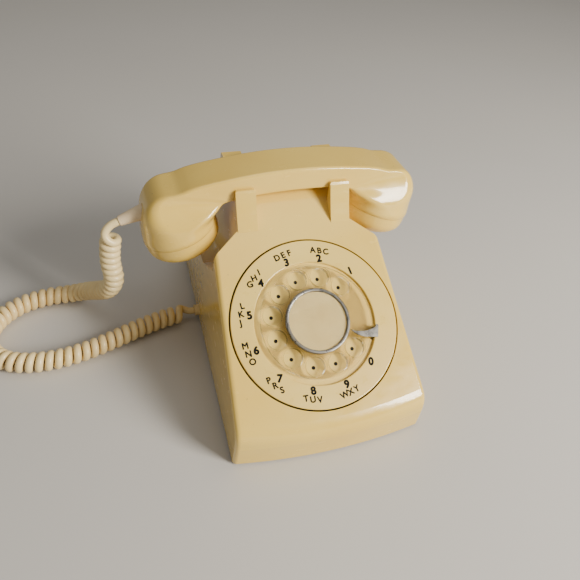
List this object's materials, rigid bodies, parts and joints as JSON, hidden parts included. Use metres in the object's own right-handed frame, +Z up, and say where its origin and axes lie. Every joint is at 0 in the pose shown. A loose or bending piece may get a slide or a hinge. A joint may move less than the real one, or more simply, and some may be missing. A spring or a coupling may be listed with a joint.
{
  "type": "rotary desk telephone",
  "caption": "Ivory rotary desk telephone with a lift-off handset on a four-eared cradle, clear finger wheel, finger stop and curly handset cord.",
  "frame": {"origin": "on the surface it stands on, under the middle of the telephone without its cord", "axes": "+X to its right seen from the front, -Y out of its front, +Z up; the telephone without its cord is symmetric left to right in outline"},
  "size_m": [0.3234, 0.231, 0.1433],
  "materials": {
    "ivory_plastic": "aged glossy ABS",
    "plate_plastic": "satin, a little lighter than the housing",
    "clear_plastic": "clear acrylic, lightly scratched",
    "chrome": "polished",
    "card": "ivory blank card",
    "steel": "plated sheet steel",
    "zinc": "die casting",
    "brass": "turned brass",
    "rubber": "matt black rubber",
    "black_plastic": "moulded black plastic",
    "cord_vinyl": "soft vinyl, paler and pinker than the housing",
    "button_plastic": "clear to milky buttons"
  },
  "bodies": {
    "base": {"base_plate": "steel", "cord_base_lead": "cord_vinyl", "cord_coil": "cord_vinyl", "cord_gland": "cord_vinyl", "cover_screw_1": "steel", "cover_screw_2": "steel", "cover_screw_3": "steel", "cover_screw_4": "steel", "dial_bracket_left": "steel", "dial_bracket_right": "steel", "dial_frame": "zinc", "dial_rear_plate": "steel", "dial_spring": "steel", "dial_stud_1": "zinc", "dial_stud_2": "zinc", "dial_stud_3": "zinc", "finger_stop": "chrome", "foot_front_left": "rubber", "foot_front_right": "rubber", "foot_rear_left": "rubber", "foot_rear_right": "rubber", "gong_left": "brass", "gong_post_left": "steel", "gong_post_right": "steel", "gong_right": "brass", "governor_cup": "zinc", "hook_contacts": "black_plastic", "hook_frame": "steel", "hook_spring": "steel", "housing": "ivory_plastic", "line_cord_grommet": "rubber", "network_block": "black_plastic", "number_plate": "plate_plastic", "pulse_contacts": "black_plastic", "ringer_coil": "black_plastic", "ringer_frame": "steel", "terminal_screw_1": "brass", "terminal_screw_2": "brass", "terminal_screw_3": "brass"},
    "handset": {"handset_shell": "ivory_plastic", "mouthpiece_cap": "ivory_plastic", "earpiece_cap": "ivory_plastic", "transmitter": "black_plastic", "receiver": "black_plastic", "cord_boot": "cord_vinyl", "cord_handset_lead": "cord_vinyl"},
    "dial_wheel": {"finger_wheel": "clear_plastic", "card_ring": "chrome", "number_card": "card", "card_cover": "clear_plastic", "dial_shaft": "steel", "dial_gear": "brass"},
    "plunger_left": {"plunger_left": "button_plastic"},
    "plunger_right": {"plunger_right": "button_plastic"},
    "hook_lever": {"hook_lever": "steel"},
    "pulse_gear": {"pulse_gear": "brass"},
    "governor": {"governor": "brass"},
    "clapper": {"clapper": "brass"},
    "volume_wheel": {"volume_wheel": "black_plastic"}
  },
  "joints": [
    {"name": "handset_lift", "type": "slide", "parent": "base", "child": "handset", "axis": [0, 0, 1], "range_m": [0, 0.06]},
    {"name": "plunger_left_rise", "type": "slide", "parent": "base", "child": "plunger_left", "axis": [0, 0, 1], "range_m": [0, 0.006]},
    {"name": "plunger_right_rise", "type": "slide", "parent": "base", "child": "plunger_right", "axis": [0, 0, 1], "range_m": [0, 0.006]},
    {"name": "hook_lever_swing", "type": "hinge", "parent": "base", "child": "hook_lever", "pos_m": [0, 0.056, 0.084], "axis": [-1, 0, 0], "range_deg": [0, 10.2]},
    {"name": "dial_turn", "type": "hinge", "parent": "base", "child": "dial_wheel", "pos_m": [0, -0.0585, 0.0682], "axis": [0, 0.5736, -0.8192], "range_deg": [0, 335], "stiffness_Nm_per_rad": 0.008, "springref_deg": -68.75},
    {"name": "pulse_gear_spin", "type": "hinge", "parent": "base", "child": "pulse_gear", "pos_m": [-0.01031, -0.08171, 0.05195], "axis": [0, 0.5736, -0.8192], "range_deg": [-1345, 0]},
    {"name": "governor_spin", "type": "hinge", "parent": "base", "child": "governor", "pos_m": [0.00784, -0.08171, 0.05195], "axis": [0, 0.5736, -0.8192], "range_deg": [0, 4700]},
    {"name": "clapper_swing", "type": "hinge", "parent": "base", "child": "clapper", "pos_m": [0, 0.0445, 0.018], "axis": [0, 0, 1], "range_deg": [-3.2, 3.2], "stiffness_Nm_per_rad": 0.01},
    {"name": "volume_turn", "type": "hinge", "parent": "base", "child": "volume_wheel", "pos_m": [0.0496, 0.024, 0.002], "axis": [0, 0, 1], "range_deg": [-120, 120]}
  ],
  "couplings": [
    {"joint": "plunger_left_rise", "follows": "handset_lift", "ratio": 0.1},
    {"joint": "plunger_right_rise", "follows": "handset_lift", "ratio": 0.1},
    {"joint": "hook_lever_swing", "follows": "handset_lift", "rad_per_m": 2.9},
    {"joint": "pulse_gear_spin", "follows": "dial_turn", "ratio": -4},
    {"joint": "governor_spin", "follows": "dial_turn", "ratio": 14}
  ]
}
